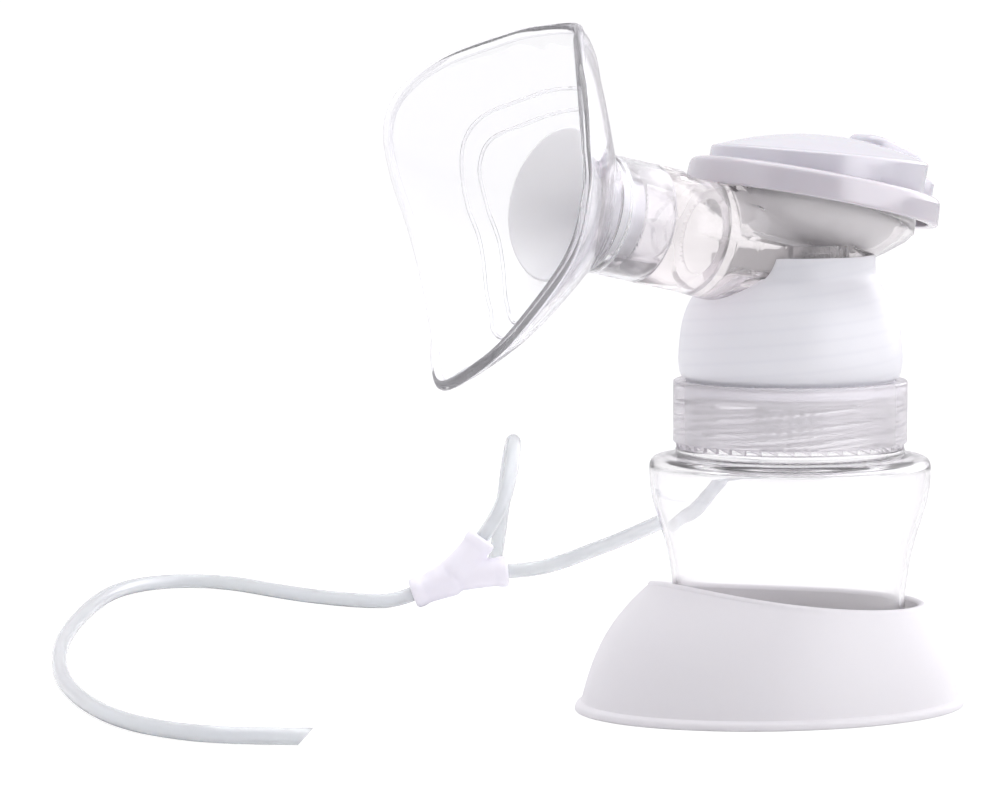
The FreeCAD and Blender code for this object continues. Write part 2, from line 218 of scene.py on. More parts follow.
# Values between fromLow and fromHigh are spread over low to high
def mapRange(nodes, links, value, low, high, fromLow=0.0, fromHigh=1.0):
    node = nodes.new("ShaderNodeMapRange")
    node.inputs["From Min"].default_value = fromLow
    node.inputs["From Max"].default_value = fromHigh
    node.inputs["To Min"].default_value = low
    node.inputs["To Max"].default_value = high
    links.new(value, node.inputs["Value"])
    return node.outputs["Result"]


def mixColour(nodes, links, factor, first, second):
    node = nodes.new("ShaderNodeMix")
    node.data_type = "RGBA"
    links.new(factor, node.inputs["Factor"])
    for socket, value in ((node.inputs[6], first), (node.inputs[7], second)):
        if isinstance(value, tuple):
            socket.default_value = (*value, 1)
        else:
            links.new(value, socket)
    return node.outputs[2]


def mathNode(nodes, links, operation, *values):
    node = nodes.new("ShaderNodeMath")
    node.operation = operation
    for socket, value in zip(node.inputs, values):
        if isinstance(value, (int, float)):
            socket.default_value = value
        else:
            links.new(value, socket)
    return node.outputs[0]


# The first shader where the factor is 0, the second where it is 1
def mixShader(nodes, links, factor, first, second, output):
    mix = nodes.new("ShaderNodeMixShader")
    links.new(factor, mix.inputs[0])
    links.new(first.outputs[0], mix.inputs[1])
    links.new(second.outputs[0], mix.inputs[2])
    links.new(mix.outputs[0], output.inputs["Surface"])


def addBump(nodes, links, shader, height, strength, distance):
    bump = nodes.new("ShaderNodeBump")
    bump.inputs["Strength"].default_value = strength
    bump.inputs["Distance"].default_value = distance
    links.new(height, bump.inputs["Height"])
    links.new(bump.outputs["Normal"], shader.inputs["Normal"])


mouldFlow = {"patch": 60, "wave": 45, "strength": 0.02, "depth": 0.0006}


def cloudTone(nodes, links, cloud, look):
    share = mapRange(nodes, links, cloud, 0.0, 1.0, 0.35, 0.65)
    return mixColour(nodes, links, share, look["colour"], look["deeper"])


# Clear moulding: painted shade darkens its colour towards the silhouette, standing in for dark surroundings seen by
# refraction, and it lets lamp light through
def clearPlastic(name, look):
    material, nodes, links, shader, output = newMaterial(name)
    # Painted shade: the colour runs from the face tint to a darker edge tone at grazing angles
    layer = nodes.new("ShaderNodeLayerWeight")
    layer.inputs["Blend"].default_value = 0.5
    curve = mathNode(nodes, links, "POWER", layer.outputs["Facing"], look["power"])
    links.new(mixColour(nodes, links, curve, look["face"], look["edge"]), shader.inputs["Base Color"])
    shader.inputs["Transmission Weight"].default_value = look["clear"]
    shader.inputs["IOR"].default_value = look["ior"]
    grain = noiseOn(nodes, links, mouldFlow["patch"])
    low, high = look["rough"] * 0.6, look["rough"] * 1.4
    links.new(mapRange(nodes, links, grain, low, high), shader.inputs["Roughness"])
    wave = noiseOn(nodes, links, mouldFlow["wave"], 1.0)
    addBump(nodes, links, shader, wave, mouldFlow["strength"], mouldFlow["depth"])
    path = nodes.new("ShaderNodeLightPath")
    through = nodes.new("ShaderNodeBsdfTransparent")
    through.inputs["Color"].default_value = (*look["face"], 1)
    mixShader(nodes, links, path.outputs["Is Shadow Ray"], shader, through, output)
    return material


# Translucent white plastic or silicone. stripes: painted shade of the thread inside, seen through the wall as fine
# darker bands
def milky(name, look, stripes=None):
    material, nodes, links, shader, output = newMaterial(name)
    cloud = noiseOn(nodes, links, 28, 4.0)
    tone = cloudTone(nodes, links, cloud, look)
    if stripes:
        split = nodes.new("ShaderNodeSeparateXYZ")
        coords = nodes.new("ShaderNodeTexCoord")
        links.new(coords.outputs["Object"], split.inputs[0])
        angle = mathNode(nodes, links, "ARCTAN2", split.outputs["Y"], split.outputs["X"])
        turns = mathNode(nodes, links, "MULTIPLY", angle, -stripes["starts"] / (2 * math.pi))
        climb = mathNode(nodes, links, "MULTIPLY_ADD", split.outputs["Z"], 1 / (stripes["pitch"] * mm), turns)
        saw = mathNode(nodes, links, "PINGPONG", climb, 0.5)
        # Painted shade: darker bands where the thread inside shows through
        line = mapRange(nodes, links, saw, 0.0, stripes["depth"], 0.30, 0.5)
        tone = mixColour(nodes, links, line, tone, stripes["colour"])
    links.new(tone, shader.inputs["Base Color"])
    shader.inputs["Subsurface Weight"].default_value = look["weight"]
    shader.inputs["Subsurface Radius"].default_value = (1.0, 0.95, 0.9)
    shader.inputs["Subsurface Scale"].default_value = look["depth"]
    shader.inputs["Transmission Weight"].default_value = look["through"]
    shader.inputs["IOR"].default_value = 1.45
    grain = noiseOn(nodes, links, 900, 2.0)
    low, high = look["rough"] * 0.85, look["rough"] * 1.15
    links.new(mapRange(nodes, links, grain, low, high), shader.inputs["Roughness"])
    addBump(nodes, links, shader, grain, 0.08, 0.00008)
    return material


def glossWhite(name, look):
    material, nodes, links, shader, output = newMaterial(name)
    cloud = noiseOn(nodes, links, 35, 3.0)
    tone = cloudTone(nodes, links, cloud, look)
    links.new(tone, shader.inputs["Base Color"])
    grain = noiseOn(nodes, links, 420, 3.0)
    low, high = look["rough"] * 0.8, look["rough"] * 1.3
    links.new(mapRange(nodes, links, grain, low, high), shader.inputs["Roughness"])
    addBump(nodes, links, shader, grain, 0.05, 0.00005)
    shader.inputs["Coat Weight"].default_value = 0.25
    shader.inputs["Coat Roughness"].default_value = 0.12
    shader.inputs["Subsurface Weight"].default_value = 0.08
    shader.inputs["Subsurface Scale"].default_value = 0.002
    return material


clearLooks = {  # edge: painted shade at the silhouette, power: how tightly that painted edge shade hugs the silhouette, clear: share of light let through
    "bottleClear": {"face": (0.975, 0.97, 0.98), "edge": (0.40, 0.35, 0.42), "rough": 0.02, "ior": 1.4,
                    "power": 6.0, "clear": 0.96},
    "collarClear": {"face": (0.95, 0.935, 0.955), "edge": (0.72, 0.68, 0.75), "rough": 0.16, "ior": 1.3,
                    "power": 4.0, "clear": 0.72},
    "bodyClear": {"face": (0.98, 0.96, 0.965), "edge": (0.55, 0.50, 0.57), "rough": 0.04, "ior": 1.3,
                  "power": 5.0, "clear": 0.86},
    "shieldClear": {"face": (0.968, 0.965, 0.98), "edge": (0.42, 0.38, 0.46), "rough": 0.02, "ior": 1.36,
                    "power": 4.2, "clear": 0.93},
}
milkyLooks = {  # depth: how far light spreads inside, in metres
    "domeMilk": {"colour": (0.855, 0.855, 0.895), "deeper": (0.825, 0.825, 0.87), "rough": 0.34, "depth": 0.006,
                 "weight": 0.5, "through": 0.0},
    "siliconeMilk": {"colour": (0.985, 0.98, 0.995), "deeper": (0.965, 0.96, 0.985), "rough": 0.42,
                     "depth": 0.008, "weight": 0.5, "through": 0.15},
    "standFrost": {"colour": (0.95, 0.92, 0.95), "deeper": (0.93, 0.90, 0.935), "rough": 0.5, "depth": 0.010,
                   "weight": 0.5, "through": 0.08},
    "connectorWhite": {"colour": (0.88, 0.86, 0.93), "deeper": (0.86, 0.84, 0.91), "rough": 0.45,
                       "depth": 0.004, "weight": 0.4, "through": 0.0},
    "tubingSilicone": {"colour": (0.95, 0.97, 0.99), "deeper": (0.93, 0.95, 0.985), "rough": 0.12,
                       "depth": 0.004, "weight": 0.4, "through": 0.55},
}
# The cap's and lid's base colours are set darker than their white plastic: painted shade, to match their shaded
# sides
glossLooks = {
    "capWhitePaintedShade": {"colour": (0.59, 0.56, 0.605), "deeper": (0.575, 0.545, 0.59), "rough": 0.12},
    "lidWhitePaintedShade": {"colour": (0.66, 0.645, 0.70), "deeper": (0.645, 0.63, 0.685), "rough": 0.12},
}
threadShadeBands = {"pitch": 4.0, "starts": 4, "depth": 0.35, "colour": (0.775, 0.775, 0.83)}  # painted shade of the thread, seen through the dome

bottleClear = clearPlastic("bottleClear", clearLooks["bottleClear"])
collarClear = clearPlastic("collarClear", clearLooks["collarClear"])
bodyClear = clearPlastic("bodyClear", clearLooks["bodyClear"])
shieldClear = clearPlastic("shieldClear", clearLooks["shieldClear"])
domeMilk = milky("domeMilk", milkyLooks["domeMilk"], threadShadeBands)
siliconeMilk = milky("siliconeMilk", milkyLooks["siliconeMilk"])
standFrost = milky("standFrost", milkyLooks["standFrost"])
connectorWhite = milky("connectorWhite", milkyLooks["connectorWhite"])
tubingSilicone = milky("tubingSilicone", milkyLooks["tubingSilicone"])
capWhitePaintedShade = glossWhite("capWhitePaintedShade", glossLooks["capWhitePaintedShade"])
lidWhitePaintedShade = glossWhite("lidWhitePaintedShade", glossLooks["lidWhitePaintedShade"])
print("materials made")


# The hoses follow the same routes as the solids, given in millimetres
tubing = {"radius": 2.25, "bore": 1.25, "columns": 20}
hoseHeadRoute = [
    (38.9, 15.2, 139.7), (38.4, 23.0, 139.1), (37.2, 32.0, 137.0), (35.6, 40.2, 131.0), (34.1, 46.8, 121.5),
    (32.9, 52.8, 107.0), (32.2, 60.8, 88.0), (31.4, 69.8, 70.0), (30.6, 81.9, 54.5), (32.1, 96.2, 45.0),
    (36.6, 113.3, 39.2), (44.0, 133.4, 35.4), (51.0, 154.8, 30.5), (57.5, 180.1, 24.3), (59.7, 197.4, 19.8),
    (57.3, 209.9, 15.3), (51.4, 217.6, 12.4), (44.5, 221.7, 11.9),
]
hoseMainRoute = [
    (19.1, 237.0, 4.8), (15.1, 239.6, 3.0), (10.6, 243.8, 2.25), (3.6, 254.5, 2.25), (-1.7, 272.8, 2.25),
    (-3.4, 291.3, 2.25), (-4.8, 308.5, 2.25), (-10.1, 321.0, 2.25), (-22.2, 326.0, 2.25),
    (-38.0, 319.1, 2.25), (-56.6, 299.9, 2.25), (-83.2, 262.3, 2.25), (-113.5, 214.0, 2.25),
    (-137.1, 169.8, 2.25), (-157.1, 125.9, 2.25), (-171.1, 84.1, 2.25), (-177.3, 50.5, 2.25),
    (-174.2, 26.5, 2.25), (-164.0, 10.5, 2.25), (-149.4, 1.7, 2.25),
]
hoseBranchRoute = [
    (37.6, 225.9, 22.4), (42.3, 223.7, 29.5), (47.2, 225.3, 40.0), (53.2, 232.8, 48.5), (60.4, 244.9, 51.0),
    (66.0, 256.6, 45.0), (69.5, 265.6, 31.0), (71.6, 272.5, 17.0), (76.8, 284.0, 6.0), (83.4, 299.8, 2.25),
    (90.4, 321.3, 2.25), (100.0, 341.2, 2.25),
]


# The route's NURBS line, read back as points in metres
def routeLine(name, route):
    curve = bpy.data.curves.new(name, "CURVE")
    curve.dimensions = "3D"
    spline = curve.splines.new("NURBS")
    spline.points.add(len(route) - 1)
    for point, at in zip(spline.points, route):
        point.co = (at[0] * mm, at[1] * mm, at[2] * mm, 1)
    spline.order_u = 3
    spline.use_endpoint_u = True
    spline.resolution_u = 10
    holder = bpy.data.objects.new(name, curve)
    bpy.context.scene.collection.objects.link(holder)
    depsgraph = bpy.context.evaluated_depsgraph_get()
    line = bpy.data.meshes.new_from_object(holder.evaluated_get(depsgraph))
    points = [v.co.copy() for v in line.vertices]
    bpy.data.objects.remove(holder)
    bpy.data.meshes.remove(line)
    return points


# A hollow tube along the route's line, cut square or on a slant at its far end
def hose(name, route, slant=0.0):
    points = routeLine(name + "Line", route)
    side = (points[1] - points[0]).cross(up).normalized()
    frames = []
    for n, at in enumerate(points):
        ahead = (points[min(n + 1, len(points) - 1)] - points[max(n - 1, 0)]).normalized()
        side = (side - ahead * side.dot(ahead)).normalized()
        frames.append((at, ahead, side, ahead.cross(side)))
    def ringsOf(radius):
        rings = []
        for n, (at, ahead, across, over) in enumerate(frames):
            ring = []
            for i in range(tubing["columns"]):
                angle = 2 * math.pi * i / tubing["columns"]
                offset = (across * math.cos(angle) + over * math.sin(angle)) * radius * mm
                lean = ahead * offset.z * slant if n == len(frames) - 1 else Vector()
                ring.append((at + offset + lean) / mm)
            rings.append(ring)
        return rings
    outer = ringsOf(tubing["radius"])
    inner = ringsOf(tubing["bore"])
    piece = skin(name, outer + inner[::-1], tubingSilicone, loop=True)
    return piece, points


standLook = {
    "middle": -6.2, "halfLong": 54.1, "halfWide": 45.7,  # the oval at the foot, off centre towards the shield
    "rimLow": 28.0, "rimRise": 6.5, "wall": 2.2, "floor": 2.4, "footTop": 2.6, "columns": 160, "rows": 26,
    "seat": [(36.0, 2.4), (36.0, 7.6), (35.6, 8.0), (34.4, 8.0), (34.0, 7.6), (34.0, 2.4), (16.0, 2.4)],
}


def standOval(z, angle, shrink=0.0):
    drop = 0.22 * z + 6.75 * (z / 29.0) ** 3
    x = standLook["middle"] + 0.16 * drop + (standLook["halfLong"] - 1.06 * drop - shrink) * math.cos(angle)
    y = (standLook["halfWide"] - 0.66 * drop - shrink) * math.sin(angle)
    return x, y


def rimHeight(angle):
    x, y = standOval(31.0, angle)
    t = max(0.0, 0.5 - 0.0131 * x)
    return standLook["rimLow"] + standLook["rimRise"] * t * t


def makeStand():
    count, rows, middle = standLook["columns"], standLook["rows"], standLook["middle"]
    wall, floor, footTop = standLook["wall"], standLook["floor"], standLook["footTop"]
    angles = [2 * math.pi * i / count for i in range(count)]
    def wallRing(low, share, shrink=0.0):
        ring = []
        for a in angles:
            z = low + (rimHeight(a) - wall / 2 - low) * share
            ring.append((*standOval(z, a, shrink), z))
        return ring
    rings = [[(middle, 0, 0)] * count]
    for share in (0.5, 0.9):
        flat = (standOval(0, a) for a in angles)
        rings.append([((x - middle) * share + middle, y * share, 0) for x, y in flat])
    foot = rounded([(0, 0), (1.3, 0.0, 0.8), (1.3, 1.9, 1.2), (0.1, footTop)], 5)  # out from the wall, up
    for out, z in foot:
        rings.append([(*standOval(z, a, -out), z) for a in angles])
    for j in range(1, rows):
        rings.append(wallRing(footTop, j / rows))
    for k in range(9):
        turn = math.pi * k / 8
        ring = []
        for a in angles:
            top = rimHeight(a) - wall / 2
            z = top + wall / 2 * math.sin(turn)
            ring.append((*standOval(top, a, wall / 2 * (1 - math.cos(turn))), z))
        rings.append(ring)
    for j in range(1, rows):
        rings.append(wallRing(floor, 1 - j / rows, wall))
    rings.append([(*standOval(floor, a, wall), floor) for a in angles])
    for radius, z in standLook["seat"]:  # the ring that the bottle stands in
        rings.append([(radius * math.cos(a), radius * math.sin(a), z) for a in angles])
    rings.append([(0, 0, floor)] * count)
    piece = skin("standCup", rings, standFrost)
    place(piece, "stand", "frosted_stand", "stand")
    print("stand made")


thread = {"starts": 4, "pitch": 4.0, "height": 1.5, "halfWidth": 0.21, "flank": 0.09, "fade": 0.8}


# How far the thread stands out of a wall at a height and an angle
def threadRelief(low, high, side, phase):
    def relief(z, angle):
        if not low < z < high:
            return 0.0
        turn = (z / thread["pitch"] - thread["starts"] * angle / (2 * math.pi) + phase) % 1.0
        share = min(1.0, max(0.0, (thread["halfWidth"] - abs(turn - 0.5)) / thread["flank"]))
        fade = min(1.0, (z - low) / thread["fade"], (high - z) / thread["fade"])
        return side * thread["height"] * share * fade
    return relief


bottleSide = [(32.7, 12), (31.9, 20), (31.4, 29), (32.0, 34.6), (32.8, 40), (34.05, 45.4), (35.7, 50.8),
              (37.3, 56.2), (38.1, 61.0)]
bottleLook = {"wall": 1.4, "base": 2.75, "neck": 27.4, "mouth": 25.8, "threadLow": 71.6, "threadHigh": 83.2}


# A straight wall cut into short steps, for a thread to stand out of
def fine(r, low, high):
    count = max(1, round(abs(high - low) / 0.25))
    return [(r, low + (high - low) * k / count) for k in range(count + 1)]


def makeBottle():
    wall, base, neck, mouth = (bottleLook[key] for key in ("wall", "base", "neck", "mouth"))
    low, high = bottleLook["threadLow"], bottleLook["threadHigh"]
    outside = rounded([(0, base + 0.8), (24, base + 0.8, 2), (27, base, 1.5), (33.0, base, 4.5), (32.7, 12)], 8)
    outside += smoothRun(bottleSide, 5)[1:]
    outside += rounded([(38.1, 61.0), (38.25, 67.9, 4.2), (32.2, 68.4, 0.8), (31.1, 68.7, 0.4),
                        (31.1, 70.4, 0.5), (neck, 70.4, 0.5), (neck, 71.4)], 7)[1:]
    outside += fine(neck, low, high)
    outside += rounded([(neck, 83.4), (neck, 84.0, 0.4), (mouth, 84.0, 0.4), (mouth, 83.0)], 4)
    inside = rounded([(mouth, 83.0), (mouth, 67.6, 2.0), (33.0, 66.6, 1.5), (36.8, 66.2, 3.0), (36.7, 61.0)], 6)[1:]
    inside += [(r - wall, z) for r, z in reversed(smoothRun(bottleSide, 5))][1:]
    inside += rounded([(31.3, 12), (31.4, base + 1.6, 4.0), (24, base + 2.3, 3.0), (0, base + 2.5)], 8)[1:]
    relief = threadRelief(low, high, 1, 0.0)
    keep = lambda r, z, a: relief(z, a) if abs(r - neck) < 0.1 else 0.0
    piece = lathe("bottleShell", outside + inside, bottleClear, bottleFrame, relief=keep, columns=192)
    place(piece, "bottle", "clear_bottle", "bottle")
    print("bottle made")


collarLook = {"radius": 31.75, "low": 71.9, "high": 88.8, "bore": 30.1, "lip": 28.7, "teeth": 43,
              "toothRadius": 30.9, "toothHeight": 1.3, "toothDepth": 1.1, "toothFill": 0.92}


def makeCollar():
    radius, low, high, bore, lip = (collarLook[key] for key in ("radius", "low", "high", "bore", "lip"))
    outside = rounded([(bore, low), (radius, low, 0.5), (radius, high, 0.7), (lip, high, 0.3),
                       (lip, high - 1.2, 0.2), (bore, high - 1.2, 0.4), (bore, 87.0)], 5)
    relief = threadRelief(72.4, 84.2, -1, 0.5)
    keep = lambda r, z, a: relief(z, a) if abs(r - bore) < 0.1 else 0.0
    piece = lathe("collarSkirt", outside + fine(bore, 86.8, 72.2), collarClear, bottleFrame, loop=True,
                  relief=keep, columns=192)
    place(piece, "collar", "clear_collar", "screw_collar")


# Saw teeth set round a circle: a wedge on each point, turned to face out
def teethTree():
    tree = bpy.data.node_groups.new("ratchetTeeth", "GeometryNodeTree")
    for name, kind, value in (("Teeth", "NodeSocketInt", 43), ("Radius", "NodeSocketFloat", 0.0303),
                              ("Height", "NodeSocketFloat", 0.0014), ("Thickness", "NodeSocketFloat", 0.001),
                              ("Level", "NodeSocketFloat", 0.0719)):
        socket = tree.interface.new_socket(name, in_out="INPUT", socket_type=kind)
        socket.default_value = value
    tree.interface.new_socket("Wedge", in_out="INPUT", socket_type="NodeSocketObject")
    tree.interface.new_socket("Finish", in_out="INPUT", socket_type="NodeSocketMaterial")
    tree.interface.new_socket("Geometry", in_out="OUTPUT", socket_type="NodeSocketGeometry")
    nodes, links = tree.nodes, tree.links
    given = nodes.new("NodeGroupInput")
    circle = nodes.new("GeometryNodeMeshCircle")
    links.new(given.outputs["Teeth"], circle.inputs["Vertices"])
    links.new(given.outputs["Radius"], circle.inputs["Radius"])
    lift = nodes.new("GeometryNodeTransform")
    level = nodes.new("ShaderNodeCombineXYZ")
    links.new(given.outputs["Level"], level.inputs["Z"])
    links.new(circle.outputs["Mesh"], lift.inputs["Geometry"])
    links.new(level.outputs[0], lift.inputs["Translation"])
    wedge = nodes.new("GeometryNodeObjectInfo")
    links.new(given.outputs["Wedge"], wedge.inputs["Object"])
    spot = nodes.new("GeometryNodeInputPosition")
    flat = nodes.new("ShaderNodeVectorMath")
    flat.operation = "MULTIPLY"
    flat.inputs[1].default_value = (1, 1, 0)
    links.new(spot.outputs[0], flat.inputs[0])
    align = nodes.new("FunctionNodeAlignEulerToVector")
    align.axis = "X"
    align.pivot_axis = "Z"
    links.new(flat.outputs[0], align.inputs["Vector"])
    size = nodes.new("ShaderNodeCombineXYZ")
    size.inputs["Y"].default_value = 1.0
    links.new(given.outputs["Thickness"], size.inputs["X"])
    links.new(given.outputs["Height"], size.inputs["Z"])
    spread = nodes.new("GeometryNodeInstanceOnPoints")
    links.new(lift.outputs[0], spread.inputs["Points"])
    links.new(wedge.outputs["Geometry"], spread.inputs["Instance"])
    links.new(align.outputs[0], spread.inputs["Rotation"])
    links.new(size.outputs[0], spread.inputs["Scale"])
    real = nodes.new("GeometryNodeRealizeInstances")
    links.new(spread.outputs[0], real.inputs[0])
    finish = nodes.new("GeometryNodeSetMaterial")
    links.new(real.outputs[0], finish.inputs["Geometry"])
    links.new(given.outputs["Finish"], finish.inputs["Material"])
    out = nodes.new("NodeGroupOutput")
    links.new(finish.outputs[0], out.inputs["Geometry"])
    return tree


# Runs a tree on an empty mesh and returns its result as a plain mesh object
def growTree(name, tree, values, material):
    host = bpy.data.objects.new(name + "Host", bpy.data.meshes.new(name + "Host"))
    bpy.context.scene.collection.objects.link(host)
    modifier = host.modifiers.new("tree", "NODES")
    modifier.node_group = tree
    sockets = {s.name: s.identifier for s in tree.interface.items_tree if s.in_out == "INPUT"}
    for key, value in values.items():
        modifier[sockets[key]] = value
    host.update_tag()
    depsgraph = bpy.context.evaluated_depsgraph_get()
    mesh = bpy.data.meshes.new_from_object(host.evaluated_get(depsgraph), depsgraph=depsgraph)
    bpy.data.objects.remove(host)
    return finishMesh(name, mesh, material, 40)


def makeTeeth():
    half = math.pi * 30.3 / collarLook["teeth"] * mm * collarLook["toothFill"]
    corners = [(x, *end) for x in (-1, 0) for end in ((-half, 0.25), (half, 0.25), (half, -1.0))]
    mesh = bpy.data.meshes.new("wedge")
    mesh.from_pydata(corners, [], [(0, 1, 2), (3, 5, 4), (0, 3, 4, 1), (1, 4, 5, 2), (2, 5, 3, 0)])
    wedge = bpy.data.objects.new("wedge", mesh)
    bpy.context.scene.collection.objects.link(wedge)
    piece = growTree("collarTeeth", teethTree(), {
        "Teeth": collarLook["teeth"], "Radius": collarLook["toothRadius"] * mm,
        "Height": collarLook["toothHeight"] * mm, "Thickness": collarLook["toothDepth"] * mm,
        "Level": collarLook["low"] * mm, "Wedge": wedge, "Finish": collarClear,
    }, collarClear)
    bpy.data.objects.remove(wedge)
    place(piece, "collar", "clear_collar")
    print("collar made")


gasketLook = {"bore": 25.9, "radius": 28.0, "low": 84.05, "high": 85.2}


def makeAdapter():
    smoothCopy("bottle_adapter", "adapterDome", domeMilk, "head", "milky_plastic")
    bore, radius, low, high = (gasketLook[key] for key in ("bore", "radius", "low", "high"))
    section = rounded([(bore, 84.6), (bore, high, 0.2), (radius, high, 0.2), (radius, low, 0.3),
                       (bore, low, 0.3), (bore, 84.6)], 3)[:-1]
    gasket = lathe("rimGasket", section, siliconeMilk, bottleFrame, loop=True)
    place(gasket, "head", "milky_silicone", "bottle_gasket")
    print("adapter made")


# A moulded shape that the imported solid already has, with clean smooth faces
def smoothCopy(node, name, material, body, slot):
    mesh = frame["nodes"][node].data.copy()
    work = bmesh.new()
    work.from_mesh(mesh)
    bmesh.ops.remove_doubles(work, verts=work.verts, dist=2e-6)
    work.to_mesh(mesh)
    work.free()
    return place(dress(name, mesh, material, 30), body, slot, node)


capLook = {
    "low": -3.75, "high": 3.75, "radius": 34.75, "edge": 2.3,
    "lidRadius": 29.4, "lidEdge": 9.9, "lidRise": 5.8, "lidLean": 6.1, "lidFillet": 0.9, "columns": 192,
}


# Height of the lid's top over the cap's middle plane, at a point across and along it
def capTop(x, y):
    lean = math.tan(math.radians(capLook["lidLean"]))
    return capLook["lidEdge"] + lean * x + capLook["lidRise"] * (1 - (x * x + y * y) / 30.2 ** 2)


def makeCapRing():
    low, high = capLook["low"], capLook["high"]
    profile = rounded([(32.0, -1.0), (32.0, low, 0.5), (capLook["radius"], low, 0.7), (34.36, high, capLook["edge"]),
                       (26.2, high, 0.3), (26.2, 0.85, 0.3), (32.0, 0.85, 0.5), (32.0, -1.0)], 8)[:-1]
    piece = lathe("capRing", profile, capWhitePaintedShade, capFrame, loop=True, columns=capLook["columns"])
    place(piece, "head", "gloss_white", "cap_ring")


def makeLid():
    count, radius = capLook["columns"], capLook["lidRadius"]
    fillet, base = capLook["lidFillet"], capLook["high"]
    angles = [2 * math.pi * i / count for i in range(count)]
    top = lambda r, a: capTop(r * math.cos(a), r * math.sin(a))
    def ringAt(r, height):
        return [(r * math.cos(a), r * math.sin(a), height(a)) for a in angles]
    rings = [[(0, 0, base)] * count, ringAt(radius * 0.6, lambda a: base), ringAt(radius - 0.3, lambda a: base)]
    for share in (0.06, 0.35, 0.7, 1.0):
        rings.append(ringAt(radius, lambda a, s=share: base + (top(radius - fillet, a) - fillet - base) * s))
    for k in range(1, 9):
        turn = math.pi / 2 * k / 8
        r = radius - fillet * (1 - math.cos(turn))
        rings.append(ringAt(r, lambda a, t=turn: top(radius - fillet, a) - fillet * (1 - math.sin(t))))
    for k in range(1, 22):
        r = (radius - fillet) * (1 - k / 22)
        rings.append(ringAt(r, lambda a, q=r: top(q, a)))
    rings.append([(0, 0, top(0, 0))] * count)
    piece = skin("capLidShell", rings, lidWhitePaintedShade, matrix=capFrame, sharp=40)
    place(piece, "head", "gloss_white", "cap_lid")


# A block with rounded corners whose top follows a surface, with a fillet round it
def softBlock(name, look, topAt, material):
    xLow, xHigh, half, corner = (look[key] for key in ("xLow", "xHigh", "half", "corner"))
    bottom, fillet = look["bottom"], look["fillet"]
    outline = []
    for cx, cy, start in ((xHigh - corner, half - corner, 0), (xLow + corner, half - corner, 90),
                          (xLow + corner, -half + corner, 180), (xHigh - corner, -half + corner, 270)):
        for k in range(9):
            angle = math.radians(start + 90 * k / 8)
            outline.append((cx, cy, math.cos(angle), math.sin(angle)))
    def ringAt(inset, height):
        r = corner - inset
        return [(cx + ux * r, cy + uy * r, height(cx + ux * r, cy + uy * r)) for cx, cy, ux, uy in outline]
    rings = [ringAt(0, lambda x, y: bottom)]
    rings.append(ringAt(0, lambda x, y: (bottom + topAt(x, y) - fillet) / 2))
    for k in range(7):
        turn = math.pi / 2 * k / 6
        inset = fillet * (1 - math.cos(turn))
        rings.append(ringAt(inset, lambda x, y, t=turn: topAt(x, y) - fillet * (1 - math.sin(t))))
    middle = (xLow + xHigh) / 2
    last = rings[-1]
    for share in (0.8, 0.6, 0.4, 0.2, 0.0):
        ring = [(middle + (x - middle) * share, y * share) for x, y, z in last]
        rings.append([(x, y, topAt(x, y)) for x, y in ring])
    rings.insert(0, [(middle, 0, bottom)] * len(outline))
    piece = skin(name, rings, material, matrix=capFrame, sharp=40)
    return place(piece, "head", "gloss_white")


portLook = {
    "block": {"xLow": 11.6, "xHigh": 31.4, "half": 8.2, "corner": 5.0, "bottom": 8.0, "fillet": 2.0, "rise": 2.5},
    "deck": {"xLow": 26.0, "xHigh": 34.5, "half": 8.1, "corner": 2.6, "bottom": 3.7, "fillet": 1.6, "top": 10.2},
}
nippleLook = {"bore": 0.8, "stem": 2.0, "collar": 3.2, "plug": 2.4, "reach": -11.5}


def makePort():
    block, deck = portLook["block"], portLook["deck"]
    softBlock("portBlock", block, lambda x, y: capTop(x, y) + block["rise"], lidWhitePaintedShade)
    softBlock("portDeck", deck, lambda x, y: deck["top"] - 0.02 * (x - 28), lidWhitePaintedShade)
    start = Vector(hoseHeadRoute[0])
    away = (Vector(hoseHeadRoute[1]) - start).normalized()
    turn = up.rotation_difference(away).to_matrix().to_4x4()
    nippleFrame = Matrix.Translation(start * mm) @ turn
    bore, stem, collar, plug, reach = (nippleLook[key] for key in ("bore", "stem", "collar", "plug", "reach"))
    profile = rounded([(bore, reach), (plug, reach), (plug, -6.7, 0.2), (collar, -6.7, 0.4), (collar, -5.5, 0.4),
                       (stem, -5.4, 0.2), (stem, 0.0), (bore, 0.0)], 4)
    piece = lathe("hoseNipple", profile, capWhitePaintedShade, nippleFrame, loop=True, columns=48)
    place(piece, "head", "gloss_white", "hose_nipple")
    print("cap made")


diaphragmLook = {
    "wall": [(26.0, -0.5), (24.6, -4.6), (20.5, -9.6), (14.5, -13.6), (10.5, -15.0)],
    "thickness": 1.3, "rim": 31.2, "rimTop": 0.75, "kept": 0.33,  # kept: how much of its depth is left when pulled
}


def makeDiaphragm():
    wall = smoothRun(diaphragmLook["wall"], 6)
    rim, thickness = diaphragmLook["rim"], diaphragmLook["thickness"]
    bottom = diaphragmLook["wall"][-1][1]
    under = [(0, bottom)] + wall[::-1] + [(rim, -0.5), (rim, diaphragmLook["rimTop"])]
    over = [(r - 0.9, z + thickness) for r, z in wall]
    piece = lathe("suctionCup", under + over + [(0, bottom + thickness)], siliconeMilk, capFrame, columns=128)
    place(piece, "head", "milky_silicone", "diaphragm")
    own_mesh(piece)


shieldLook = {"columns": 240, "rows": 36, "wall": 2.0, "bead": 1.5, "line": 0.5, "lineSteps": 220,
              "spigot": 14.38, "neck": 16.0, "tunnel": 9.8, "tunnelOut": 11.2}
